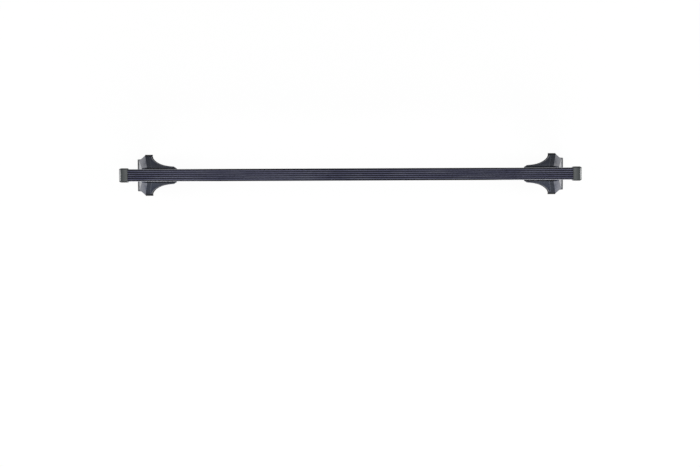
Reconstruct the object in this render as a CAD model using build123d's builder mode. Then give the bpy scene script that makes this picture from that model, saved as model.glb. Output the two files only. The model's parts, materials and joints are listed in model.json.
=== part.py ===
# Roof rack crossbar: a coated steel bar carried by two clamping feet.
# Millimetres. X runs along the bar, Y across it, Z up, and z = 0 is the underside of the clamp lips.
# The right foot is drawn in (u, w): u outboard from its nose, w up from the underside of the bar.
# The left foot is its mirror image.
import os
from math import atan, cos, degrees, radians, sqrt, tan

from build123d import *

os.makedirs("parts", exist_ok=True)

# Bar: a steel tube in a ribbed sheath that is open along the underside
overall_length = 1200
bar_width = 32
bar_height = 22
bar_corner = 3.5
sheath_wall = 1.5
sheath_fit = 0.1
sheath_mouth = 9.5
rib_count = 5
rib_pitch = 5.3
groove_width = 2.6
groove_depth = 0.7
tube_wall = 1.5
tube_corner = 2.5
slot_width = 6.6
slot_length = 214

# End caps: bevelled boots with a spigot in the tube
cap_length = 20
cap_wall = 2.5
cap_end_wall = 3
cap_edge_bevel = 3
cap_end_bevel = 4.5
cap_end_inset = 2
collar_length = 2
collar_wall = 1
collar_bevel = 2.1
pocket_bevel = 1.7
cap_fit = 0.2
spigot_length = 25
spigot_wall = 2

# Foot outline from the side: nose, concave inboard line and sloping outer wall
foot_inset = 148
foot_height = 79
foot_top_length = 93
foot_bottom_length = 114
nose_height = 15
nose_radius = 9
nose_core = 10
nose_plan_radius = 14.6
brow_length = 12
sole_depth = 37.5
concave_bulge = 14.6
brow_radius = 30
brow_gap = 0.2

# Foot outline from the end: a waist that flares to the sole, with bevelled outer corners
saddle_margin = 4
waist_half = 31.5
waist_depth = 31.3
sole_half = 53
top_flare = 14
facet_top = 14
facet_top_turn = 2.4
facet_sole = 16
facet_sole_turn = 14
facet_slant = 1.12

# Foot shell
cheek_wall = 3
outer_wall = 2.2
roof_wall = 4
rim_setback = 3.5
band_setback = 0.4
band_step = 1.2
crease_step = 0.6
crease_inset = 23.5
crease_sole_gap = 11
bulkhead_wall = 3
bulkhead_under = 11
post_half = 4

# Inner cover with the key hole
cover_wall = 3
cover_gap = 0.5
key_hole_radius = 6.4
key_ring = 1.8
key_ring_rise = 0.8

# Saddle pad
pad_floor = 2
slide_fit = 0.1
lip_wall = 2.4
lip_height = 2
lip_fit = 0.3
saddle_pad_start = 5
saddle_pad_inset = 9

# Sole: base plate, roof pad and their screws
base_wall = 3
base_recess = 2
base_fit = 0.3
ear_length = 21
ear_height = 4.5
ear_proud = 2
ear_root = 3
roof_pad_width = 11.3
roof_pad_half = 43.5
roof_pad_proud = 0.5
roof_pad_mitre = 4
roof_pad_round = 1.6
pad_screw_gap = 2.8
pad_screw_y = 23
pad_screw_radius = 1.5
pad_screw_head = 2.4
pad_screw_head_height = 1.5
pad_screw_grip = 11

# Clamp bracket
sheet = 2.5
bracket_half = 43
bracket_drop = 42
bracket_lean = 21.3
bracket_gap = 1.4
bracket_travel = 4
bracket_clear = 1.1
bend_radius = 4
flange_half = 14
neck_half = 34
neck_gap = 1.5
flange_gap = 2.6
flange_over = 9
flange_rise = 13.5
shelf_rise = 7.5
shoulder_gap = 2.8
lip_reach = 8.7
strap_hole_radius = 3.5
strap_hole_y = 30.5
strap_hole_depth = 20

# Fasteners
bolt_radius = 3
bolt_fit = 0.05
bolt_clearance = 0.3
clamp_rise = 40
key_recess = 6.3
clamp_head_radius = 5
clamp_head_height = 6
bolt_tip_gap = 2.8
key_flats = 5
key_depth = 3
nut_flats = 10
nut_height = 5
clamp_washer_side = 12
saddle_washer_side = 14
washer_wall = 1.4
saddle_bolt_u = 45
saddle_bolt_over = 0.8
saddle_head_height = 4
slot_nut_length = 16
slot_nut_gap = 1.9
slot_nut_height = 6

# Levels and places that follow from the sizes above
bar_underside = foot_height + bracket_drop
bar_middle = bar_underside + bar_height / 2
bar_end = overall_length / 2 - cap_end_wall
core_width = bar_width - 2 * sheath_wall
core_height = bar_height - 2 * sheath_wall
tube_width = core_width - 2 * sheath_fit
tube_height = core_height - 2 * sheath_fit
bore_width = tube_width - 2 * tube_wall
bore_height = tube_height - 2 * tube_wall
tube_floor = sheath_wall + sheath_fit + tube_wall
saddle_level = -(pad_floor + slide_fit)
roof_level = saddle_level - roof_wall
base_level = base_recess - foot_height
base_top = base_level + base_wall
foot_reach = overall_length / 2 - foot_inset
saddle_half = bar_width / 2 + saddle_margin
cover_sole = foot_bottom_length - sole_depth
crease_top = foot_top_length - crease_inset
crease_sole = cover_sole + crease_sole_gap
clamp_axis = foot_height - clamp_rise
flange_top = clamp_axis - flange_over
bulkhead_depth = clamp_axis + bulkhead_under
shelf_depth = foot_height - shelf_rise
flange_bottom = shelf_depth - flange_rise
saddle_pad_length = foot_top_length - saddle_pad_start - saddle_pad_inset
slot_nut_width = bore_width - 2 * slot_nut_gap
saddle_grip = roof_wall + pad_floor + slide_fit + tube_floor + slide_fit
saddle_bolt_length = washer_wall + saddle_grip + slot_nut_height + saddle_bolt_over

# The concave inboard line is an arc from the brow to the sole, given by its bulge
arc_run = cover_sole - brow_length
arc_fall = foot_height - nose_height
half_chord = sqrt(arc_run**2 + arc_fall**2) / 2
concave_radius = (half_chord**2 + concave_bulge**2) / (2 * concave_bulge)
arc_pull = (concave_radius - concave_bulge) / (2 * half_chord)
concave_u = (brow_length + cover_sole) / 2 - arc_pull * arc_fall
concave_w = -(nose_height + foot_height) / 2 - arc_pull * arc_run

# The brow's rounding is limited by the flat between the nose and the concave line
nose_side = max(nose_radius + brow_gap - concave_u, 0)
arc_rise = concave_radius + concave_w + nose_height
brow_limit = ((brow_length - concave_u) ** 2 - nose_side**2) / (2 * arc_rise)
brow_fillet = min(brow_radius, brow_limit)

# Planes: across the bar, and the foot from the side, from the end and from above
bar_section = Plane(origin=(0, 0, bar_middle), x_dir=(0, 1, 0), z_dir=(1, 0, 0))
foot_side = Plane(origin=(foot_reach, 0, bar_underside), x_dir=(1, 0, 0), z_dir=(0, -1, 0))
foot_front = Plane(origin=(foot_reach, 0, bar_underside), x_dir=(0, 1, 0), z_dir=(1, 0, 0))
foot_plan = Plane(origin=(foot_reach, 0, bar_underside), x_dir=(1, 0, 0), z_dir=(0, 0, 1))


def outer_wall_u(w, skin=0):
    """Place of the sloping outer wall at a level, moved in by a skin thickness."""
    slope = (foot_bottom_length - foot_top_length) / foot_height
    return foot_top_length - slope * w - skin / cos(atan(slope))


def concave_at(w, setback=0):
    """Place of the concave inboard line at a level, moved into the foot by a setback."""
    return concave_u + sqrt((concave_radius + setback) ** 2 - (w - concave_w) ** 2)


# Places along the foot that follow its outer wall and its concave line
clamp_head_start = concave_at(-clamp_axis) + key_recess
bulkhead_u = clamp_head_start + clamp_head_height + washer_wall
flange_u = bulkhead_u + bulkhead_wall + flange_gap + bracket_travel
clamp_bolt_end = outer_wall_u(bolt_radius - clamp_axis, outer_wall) - bolt_tip_gap
bracket_room = bracket_gap + sheet / cos(radians(bracket_lean)) + bracket_travel + bracket_clear
roof_pad_start = outer_wall_u(-foot_height, outer_wall) - bracket_room - roof_pad_width
base_start = concave_at(base_level, cover_wall + base_fit)
pad_screw_u = roof_pad_start - pad_screw_gap
shoulder_u = roof_pad_start + shoulder_gap + bracket_travel


def side_outline(setback, overrun=0):
    """Side face of the foot in (u, w): nose, concave line, sole, outer wall and saddle."""
    brow = setback - nose_height
    top = saddle_level + overrun
    sole = -foot_height - overrun
    with BuildSketch() as outline:
        with BuildLine():
            Polyline((concave_at(brow, setback), brow), (setback, brow), (setback, top))
            Polyline(
                (setback, top),
                (outer_wall_u(top, -overrun), top),
                (outer_wall_u(sole, -overrun), sole),
                (concave_at(sole, setback), sole),
            )
            RadiusArc(
                (concave_at(sole, setback), sole),
                (concave_at(brow, setback), brow),
                -(concave_radius + setback),
            )
        make_face()
        nose = outline.vertices().sort_by_distance((setback, brow))[0]
        fillet(nose, nose_radius - setback)
        kink = outline.vertices().sort_by_distance((concave_at(brow, setback), brow))[0]
        fillet(kink, brow_fillet + setback)
    return outline.sketch


def side_band(setback, thickness):
    """Band of the given thickness that follows the nose and the concave line."""
    with BuildSketch() as band:
        add(side_outline(setback))
        add(side_outline(setback + thickness, overrun=1), mode=Mode.SUBTRACT)
    return band.sketch


def facet_wedge(skin):
    """Corner piece outside the bevel that twists from the sole to the saddle, less a skin."""
    top_corner = Vector(foot_top_length, saddle_half - facet_top_turn)
    top_cheek = Vector(foot_top_length - facet_top, saddle_half)
    sole_corner = Vector(foot_bottom_length, sole_half - facet_sole_turn)
    sole_cheek = Vector(foot_bottom_length - facet_sole, sole_half)
    with BuildPart() as wedge:
        for level in (-foot_height - 1, 0):
            share = -level / foot_height
            corner = top_corner * (1 - share) + sole_corner * share
            cheek = top_cheek * (1 - share) + sole_cheek * share
            along = (cheek - corner).normalized()
            outward = Vector(along.Y, -along.X)
            inset = outward * (skin * facet_slant)
            start = corner - along * facet_sole - inset
            end = cheek + along * facet_sole - inset
            with BuildSketch(foot_plan.offset(level)):
                with BuildLine():
                    Polyline(start, end, end + outward * sole_half, start + outward * sole_half, close=True)
                make_face()
        loft(ruled=True)
    return wedge.part


def foot_prism(side, skin):
    """A side face carried across the foot and trimmed to its flared, bevelled outline, less a skin."""
    wedge = facet_wedge(skin)
    with BuildPart() as prism:
        with BuildSketch(foot_side):
            add(side)
        extrude(amount=sole_half + foot_height, both=True)
        with BuildSketch(foot_front):
            with BuildLine():
                flare = TangentArc(
                    (saddle_half, 0),
                    (waist_half, -waist_depth),
                    tangent=(tan(radians(top_flare)), -1),
                )
                flank = TangentArc(flare @ 1, (sole_half, -foot_height), tangent=flare % 1)
                Polyline(flank @ 1, (sole_half, -2 * foot_height), (0, -2 * foot_height), (0, foot_height))
                Polyline((0, foot_height), (saddle_half, foot_height), flare @ 0)
            make_face()
            mirror(about=Plane.YZ)
            if skin:
                offset(amount=-skin)
        extrude(amount=2 * foot_bottom_length, mode=Mode.INTERSECT)
        add(wedge, mode=Mode.SUBTRACT)
        add(mirror(wedge, about=Plane.XZ), mode=Mode.SUBTRACT)
    return prism.part


def nose_corners(start, radius):
    """Upright corner pieces outside the rounded plan of the nose."""
    with BuildPart() as corners:
        with BuildSketch(foot_plan):
            with Locations((start + radius / 2 - rim_setback, nose_core + radius)):
                Rectangle(radius + 2 * rim_setback, 2 * radius)
            with Locations((start + radius, nose_core)):
                Circle(radius, mode=Mode.SUBTRACT)
                Rectangle(2 * radius, 4 * radius, align=(Align.MIN, Align.CENTER), mode=Mode.SUBTRACT)
            mirror(about=Plane.XZ)
        extrude(amount=foot_height, both=True)
    return corners.part


# Tube: a square steel tube, slotted underneath from each end for the sliding nut
with BuildPart() as bar_tube:
    with BuildSketch(bar_section.offset(-bar_end)):
        RectangleRounded(tube_width, tube_height, tube_corner)
        RectangleRounded(bore_width, bore_height, tube_corner - tube_wall, mode=Mode.SUBTRACT)
    extrude(amount=2 * bar_end)
    slot_straight = slot_length - slot_width / 2
    with BuildSketch(Plane.XY.offset(bar_underside)):
        for end in (-1, 1):
            with Locations((end * (bar_end - slot_straight / 2), 0)):
                Rectangle(slot_straight, slot_width)
            with Locations((end * (bar_end - slot_straight), 0)):
                Circle(slot_width / 2)
    extrude(amount=tube_floor + tube_wall, mode=Mode.SUBTRACT)

# Sheath: ribbed on top, open underneath
with BuildPart() as bar_sheath:
    with BuildSketch(bar_section.offset(-bar_end)):
        RectangleRounded(bar_width, bar_height, bar_corner)
        RectangleRounded(core_width, core_height, bar_corner - sheath_wall, mode=Mode.SUBTRACT)
        with Locations((0, -bar_height / 2)):
            Rectangle(sheath_mouth, 3 * sheath_wall, mode=Mode.SUBTRACT)
        with Locations((0, bar_height / 2)):
            with GridLocations(rib_pitch, 1, rib_count + 1, 1):
                Rectangle(groove_width, 2 * groove_depth, mode=Mode.SUBTRACT)
    extrude(amount=2 * bar_end)

# End cap: boot with bevelled edges, a lower collar and a hollow spigot
with BuildPart() as end_cap:
    cap_start = overall_length / 2 - cap_length
    with BuildSketch(bar_section.offset(cap_start)) as boot:
        Rectangle(bar_width + 2 * cap_wall, bar_height + 2 * cap_wall)
        chamfer(boot.vertices(), cap_edge_bevel)
    extrude(amount=cap_length - cap_end_bevel)
    end_face = end_cap.faces().sort_by(Axis.X)[-1]
    extrude(end_face, amount=cap_end_bevel, taper=degrees(atan(cap_end_inset / cap_end_bevel)))
    with BuildSketch(bar_section.offset(cap_start - collar_length)) as collar:
        Rectangle(bar_width + 2 * collar_wall, bar_height + 2 * collar_wall)
        chamfer(collar.vertices(), collar_bevel)
    extrude(amount=collar_length)
    with BuildSketch(bar_section.offset(cap_start - collar_length)) as pocket:
        Rectangle(bar_width + 2 * cap_fit, bar_height + 2 * cap_fit)
        chamfer(pocket.vertices(), pocket_bevel)
    extrude(amount=collar_length + cap_length - cap_end_wall, mode=Mode.SUBTRACT)
    with BuildSketch(bar_section.offset(bar_end)):
        Rectangle(bore_width - 2 * cap_fit - tube_corner, bore_height - 2 * cap_fit)
        Rectangle(
            bore_width - 2 * cap_fit - tube_corner - 2 * spigot_wall,
            bore_height - 2 * cap_fit - 2 * spigot_wall,
            mode=Mode.SUBTRACT,
        )
    extrude(amount=-spigot_length)

# Foot shell: cheeks, roof, sloping outer wall, bulkhead for the clamp bolt and two screw posts
with BuildPart() as cavity:
    with BuildSketch(mode=Mode.PRIVATE) as hollow:
        sole = -foot_height - 1
        with BuildLine():
            Polyline(
                (-nose_radius, roof_level),
                (outer_wall_u(roof_level, outer_wall), roof_level),
                (outer_wall_u(sole, outer_wall), sole),
                (-nose_radius, sole),
                close=True,
            )
        make_face()
    add(foot_prism(hollow.sketch, cheek_wall))
    with BuildSketch(foot_side):
        with Locations((bulkhead_u, roof_level)):
            Rectangle(bulkhead_wall, bulkhead_depth + roof_level, align=(Align.MIN, Align.MAX))
    extrude(amount=sole_half, both=True, mode=Mode.SUBTRACT)
    with BuildSketch(foot_plan.offset(base_top)):
        with Locations((pad_screw_u, pad_screw_y), (pad_screw_u, -pad_screw_y)):
            Rectangle(2 * post_half, 2 * post_half)
    extrude(amount=roof_level - base_top, mode=Mode.SUBTRACT)

with BuildPart() as foot_shell:
    add(foot_prism(side_outline(rim_setback), crease_step))
    with BuildSketch(mode=Mode.PRIVATE) as outer_half:
        with BuildLine():
            Polyline(
                (crease_top, saddle_level),
                (outer_wall_u(saddle_level), saddle_level),
                (outer_wall_u(-foot_height), -foot_height),
                (crease_sole, -foot_height),
                close=True,
            )
        make_face()
        add(side_outline(rim_setback), mode=Mode.INTERSECT)
    add(foot_prism(outer_half.sketch, 0))
    add(foot_prism(side_band(band_setback, rim_setback), band_step))
    add(foot_prism(side_band(-1, rim_setback + 1), cheek_wall), mode=Mode.SUBTRACT)
    add(cavity.part, mode=Mode.SUBTRACT)
    add(nose_corners(rim_setback, nose_plan_radius), mode=Mode.SUBTRACT)
    with BuildSketch(foot_plan.offset(roof_level)):
        with Locations((saddle_bolt_u, 0)):
            Circle(bolt_radius + bolt_clearance)
    extrude(amount=roof_wall, mode=Mode.SUBTRACT)
    with BuildSketch(foot_front.offset(bulkhead_u)):
        with Locations((0, -clamp_axis)):
            Circle(bolt_radius + bolt_clearance)
    extrude(amount=bulkhead_wall, mode=Mode.SUBTRACT)
    with BuildSketch(foot_plan.offset(base_top)):
        with Locations((pad_screw_u, pad_screw_y), (pad_screw_u, -pad_screw_y)):
            Circle(pad_screw_radius + bolt_fit)
    extrude(amount=pad_screw_grip, mode=Mode.SUBTRACT)
    with BuildSketch(foot_side):
        with Locations((cover_sole - rim_setback, -foot_height)):
            Rectangle(rim_setback + ear_length, ear_height, align=Align.MIN)
    extrude(amount=sole_half + 1, both=True, mode=Mode.SUBTRACT)

# Inner cover: a glossy concave panel that wraps the nose, with a ringed key hole
with BuildPart() as key_ring_rim:
    add(foot_prism(side_band(-key_ring_rise, cover_wall), cheek_wall + cover_gap))
    with BuildSketch(foot_front):
        with Locations((0, -clamp_axis)):
            Circle(key_hole_radius + key_ring)
    extrude(amount=foot_bottom_length, mode=Mode.INTERSECT)

with BuildPart() as inner_cover:
    add(foot_prism(side_band(0, cover_wall), cheek_wall + cover_gap))
    add(nose_corners(0, nose_plan_radius - cheek_wall - cover_gap), mode=Mode.SUBTRACT)
    add(key_ring_rim.part)
    with BuildSketch(foot_front):
        with Locations((0, -clamp_axis)):
            Circle(key_hole_radius)
    extrude(amount=foot_bottom_length, mode=Mode.SUBTRACT)

# Saddle pad: a rubber channel under the bar
with BuildPart() as saddle_pad:
    lip_inside = bar_width / 2 + lip_fit
    with BuildSketch(foot_front.offset(saddle_pad_start)):
        with Locations((0, saddle_level)):
            Rectangle(2 * (lip_inside + lip_wall), lip_height - saddle_level, align=(Align.CENTER, Align.MIN))
        with Locations((0, -slide_fit)):
            Rectangle(2 * lip_inside, lip_height + 1, align=(Align.CENTER, Align.MIN), mode=Mode.SUBTRACT)
    extrude(amount=saddle_pad_length)
    with BuildSketch(foot_plan.offset(saddle_level)):
        with Locations((saddle_bolt_u, 0)):
            Circle(bolt_radius + bolt_clearance)
    extrude(amount=pad_floor, mode=Mode.SUBTRACT)

# Base plate: closes the sole between the cheeks, with an ear in each cheek
with BuildPart() as ears:
    with BuildSketch(mode=Mode.PRIVATE) as ear:
        with Locations((cover_sole - rim_setback, -foot_height)):
            Rectangle(rim_setback + ear_length - base_fit, ear_height - base_fit, align=Align.MIN)
        add(side_outline(band_setback), mode=Mode.INTERSECT)
    add(foot_prism(ear.sketch, -ear_proud))
    with BuildSketch(foot_plan.offset(-foot_height)):
        Rectangle(2 * foot_bottom_length, 2 * (sole_half - cheek_wall - ear_root))
        Rectangle(2 * (base_start + base_fit), 2 * (sole_half - cheek_wall))
    extrude(amount=ear_height, mode=Mode.SUBTRACT)

with BuildPart() as base_plate:
    base_end = roof_pad_start + roof_pad_width - 1
    with BuildSketch(mode=Mode.PRIVATE) as plate:
        with Locations((base_start, base_level)):
            Rectangle(base_end - base_start, base_wall, align=Align.MIN)
    add(foot_prism(plate.sketch, cheek_wall + base_fit))
    add(ears.part)
    with BuildSketch(foot_plan.offset(base_level)):
        with Locations((pad_screw_u, pad_screw_y), (pad_screw_u, -pad_screw_y)):
            Circle(pad_screw_radius + bolt_clearance)
    extrude(amount=base_wall, mode=Mode.SUBTRACT)

# Roof pad: a rounded rubber strip with mitred ends
with BuildPart() as roof_pad:
    with BuildSketch(foot_plan.offset(-foot_height - roof_pad_proud)) as strip:
        with Locations((roof_pad_start, 0)):
            Rectangle(roof_pad_width, 2 * roof_pad_half, align=(Align.MIN, Align.CENTER))
        chamfer(strip.vertices(), roof_pad_mitre)
    extrude(amount=roof_pad_proud + base_recess)
    long_edges = roof_pad.edges().filter_by(Axis.Y).group_by(Axis.Z)[0]
    fillet(long_edges, roof_pad_round)

# Pad screws: two hex heads under the base plate
with BuildPart() as pad_screws:
    with BuildSketch(foot_plan.offset(base_level)):
        with Locations((pad_screw_u, pad_screw_y), (pad_screw_u, -pad_screw_y)):
            RegularPolygon(pad_screw_head, 6, major_radius=False, rotation=30)
    extrude(amount=-pad_screw_head_height)
    with BuildSketch(foot_plan.offset(base_level)):
        with Locations((pad_screw_u, pad_screw_y), (pad_screw_u, -pad_screw_y)):
            Circle(pad_screw_radius)
    extrude(amount=base_wall + pad_screw_grip - 1)

# Clamp bracket: bent sheet with a narrow bolt flange, a shelf, a leaning plate and a lip
plate_slope = tan(radians(bracket_lean))
plate_skew = sheet / 2 / cos(radians(bracket_lean))
plate_sole = roof_pad_start + roof_pad_width + bracket_gap + bracket_travel + plate_skew
lip_level = sheet / 2 - foot_height - bracket_drop
plate_top = plate_sole - (foot_height - shelf_depth) * plate_slope
plate_foot = plate_sole - (lip_level + foot_height) * plate_slope
with BuildPart() as clamp_bracket:
    with BuildSketch(foot_side):
        with BuildLine():
            FilletPolyline(
                (flange_u + sheet / 2, -flange_top),
                (flange_u + sheet / 2, -flange_bottom),
                (plate_top, -shelf_depth),
                (plate_foot, lip_level),
                (plate_foot - lip_reach, lip_level),
                radius=bend_radius,
            )
        trace(line_width=sheet)
    extrude(amount=bracket_half, both=True)
    with BuildSketch(foot_plan.offset(-foot_height - neck_gap)):
        for across in (-1, 1):
            with Locations((0, across * (flange_half + bracket_half))):
                Rectangle(shoulder_u, 2 * bracket_half, align=(Align.MIN, Align.CENTER))
            with Locations((0, across * (neck_half + bracket_half))):
                Rectangle(2 * foot_bottom_length, 2 * bracket_half, align=(Align.MIN, Align.CENTER))
    extrude(amount=foot_height, mode=Mode.SUBTRACT)
    with BuildSketch(foot_front):
        with Locations((0, -clamp_axis)):
            Circle(bolt_radius + bolt_clearance)
    extrude(amount=flange_u + 2 * sheet, mode=Mode.SUBTRACT)
    hole_level = -foot_height - strap_hole_depth
    hole_centre = foot_plan.from_local_coords((plate_sole + strap_hole_depth * plate_slope, 0, hole_level))
    with BuildSketch(Plane(origin=hole_centre, x_dir=(0, 1, 0), z_dir=(1, 0, plate_slope))):
        with Locations((strap_hole_y, 0), (-strap_hole_y, 0)):
            Circle(strap_hole_radius)
    extrude(amount=sheet, both=True, mode=Mode.SUBTRACT)

# Clamp bolt: socket head behind the key hole, drawn through the bulkhead into the bracket's nut
with BuildPart() as clamp_bolt:
    with BuildSketch(foot_front.offset(clamp_head_start)):
        with Locations((0, -clamp_axis)):
            Circle(clamp_head_radius)
    extrude(amount=clamp_head_height)
    with BuildSketch(foot_front.offset(clamp_head_start)):
        with Locations((0, -clamp_axis)):
            RegularPolygon(key_flats / 2, 6, major_radius=False)
    extrude(amount=key_depth, mode=Mode.SUBTRACT)
    with BuildSketch(foot_front.offset(clamp_head_start + clamp_head_height)):
        with Locations((0, -clamp_axis)):
            Circle(bolt_radius)
    extrude(amount=clamp_bolt_end - clamp_head_start - clamp_head_height)

with BuildPart() as clamp_washer:
    with BuildSketch(foot_front.offset(bulkhead_u)):
        with Locations((0, -clamp_axis)):
            Rectangle(clamp_washer_side, clamp_washer_side)
            Circle(bolt_radius + bolt_fit, mode=Mode.SUBTRACT)
    extrude(amount=-washer_wall)

with BuildPart() as clamp_nut:
    with BuildSketch(foot_front.offset(flange_u + sheet)):
        with Locations((0, -clamp_axis)):
            RegularPolygon(nut_flats / 2, 6, major_radius=False)
            Circle(bolt_radius + bolt_fit, mode=Mode.SUBTRACT)
    extrude(amount=nut_height)

# Saddle bolt: hex head under the roof of the foot, up into the nut plate in the tube
with BuildPart() as saddle_bolt:
    with BuildSketch(foot_plan.offset(roof_level - washer_wall)):
        with Locations((saddle_bolt_u, 0)):
            RegularPolygon(nut_flats / 2, 6, major_radius=False)
    extrude(amount=-saddle_head_height)
    with BuildSketch(foot_plan.offset(roof_level - washer_wall)):
        with Locations((saddle_bolt_u, 0)):
            Circle(bolt_radius)
    extrude(amount=saddle_bolt_length)

with BuildPart() as saddle_washer:
    with BuildSketch(foot_plan.offset(roof_level)):
        with Locations((saddle_bolt_u, 0)):
            Rectangle(saddle_washer_side, saddle_washer_side)
            Circle(bolt_radius + bolt_fit, mode=Mode.SUBTRACT)
    extrude(amount=-washer_wall)

with BuildPart() as slot_nut:
    with BuildSketch(foot_plan.offset(tube_floor + slide_fit)):
        with Locations((saddle_bolt_u, 0)):
            Rectangle(slot_nut_length, slot_nut_width)
            Circle(bolt_radius + bolt_fit, mode=Mode.SUBTRACT)
    extrude(amount=slot_nut_height)

# The bar's own pieces are written once
bar_tube.part.label = "bar_tube"
export_step(bar_tube.part, "parts/bar_tube.step")
bar_sheath.part.label = "bar_sheath"
export_step(bar_sheath.part, "parts/bar_sheath.step")

# Everything at the right end is written as drawn, and mirrored for the left end
right_end = {
    "end_cap": end_cap,
    "foot_shell": foot_shell,
    "inner_cover": inner_cover,
    "saddle_pad": saddle_pad,
    "base_plate": base_plate,
    "roof_pad": roof_pad,
    "pad_screws": pad_screws,
    "clamp_bracket": clamp_bracket,
    "clamp_bolt": clamp_bolt,
    "clamp_washer": clamp_washer,
    "clamp_nut": clamp_nut,
    "saddle_bolt": saddle_bolt,
    "saddle_washer": saddle_washer,
    "slot_nut": slot_nut,
}
for piece_name, piece in right_end.items():
    piece.part.label = "right_" + piece_name
    export_step(piece.part, "parts/right_" + piece_name + ".step")
    with BuildPart() as left_piece:
        mirror(piece.part, about=Plane.YZ)
    left_piece.part.label = "left_" + piece_name
    export_step(left_piece.part, "parts/left_" + piece_name + ".step")
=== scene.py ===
import json
import math

import bmesh
import bpy
import numpy as np
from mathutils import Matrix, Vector


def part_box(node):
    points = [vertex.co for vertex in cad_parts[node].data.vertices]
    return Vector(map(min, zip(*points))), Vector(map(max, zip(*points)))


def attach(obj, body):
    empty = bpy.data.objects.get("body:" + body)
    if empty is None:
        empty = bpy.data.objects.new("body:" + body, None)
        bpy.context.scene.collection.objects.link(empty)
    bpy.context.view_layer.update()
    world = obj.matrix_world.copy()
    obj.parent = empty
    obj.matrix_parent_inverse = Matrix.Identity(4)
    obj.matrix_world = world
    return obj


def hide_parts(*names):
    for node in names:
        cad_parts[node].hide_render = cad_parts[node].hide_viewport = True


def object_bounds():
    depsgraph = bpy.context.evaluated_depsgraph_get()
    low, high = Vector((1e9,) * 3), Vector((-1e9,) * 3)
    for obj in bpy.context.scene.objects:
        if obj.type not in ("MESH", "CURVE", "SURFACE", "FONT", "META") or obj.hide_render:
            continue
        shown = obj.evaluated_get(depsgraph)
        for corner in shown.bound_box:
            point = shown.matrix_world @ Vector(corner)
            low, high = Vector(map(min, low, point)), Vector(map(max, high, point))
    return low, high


# Roof rack crossbar: a ribbed bar on two clamping feet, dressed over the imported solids.
# Places are in metres, in the frame of the solids: x along the bar, y across it, z up.
# The pieces' own sizes are in millimetres.
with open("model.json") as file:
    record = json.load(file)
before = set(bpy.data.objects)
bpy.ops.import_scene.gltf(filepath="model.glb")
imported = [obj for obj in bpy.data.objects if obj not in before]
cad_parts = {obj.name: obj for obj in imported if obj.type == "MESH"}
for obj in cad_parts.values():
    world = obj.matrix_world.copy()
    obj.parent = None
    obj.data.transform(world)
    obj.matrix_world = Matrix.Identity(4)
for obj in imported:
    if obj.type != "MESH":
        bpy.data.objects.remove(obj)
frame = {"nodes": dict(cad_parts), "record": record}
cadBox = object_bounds()
record = frame["record"]
bodyOf = {node: body for body, nodes in record["behaviour"]["bodies"].items() for node in nodes}
slotOf = {part["node"]: part["material_slot"] for part in record["subparts"]}
sides = {"right": 1, "left": -1}
mm = 0.001
seam = 1e-7        # points nearer than this are one
print("frame loaded:", len(bodyOf), "nodes")


# Shader helpers
class Sock:
    # one output socket; plain arithmetic on it adds Math nodes
    def __init__(self, finish, out):
        self.finish = finish
        self.out = out

    def __add__(self, other):
        return self.finish.maths("ADD", self, other)

    def __radd__(self, other):
        return self.finish.maths("ADD", other, self)

    def __sub__(self, other):
        return self.finish.maths("SUBTRACT", self, other)

    def __rsub__(self, other):
        return self.finish.maths("SUBTRACT", other, self)

    def __mul__(self, other):
        return self.finish.maths("MULTIPLY", self, other)

    def __rmul__(self, other):
        return self.finish.maths("MULTIPLY", other, self)

    def __pow__(self, other):
        return self.finish.maths("POWER", self, other)


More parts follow.
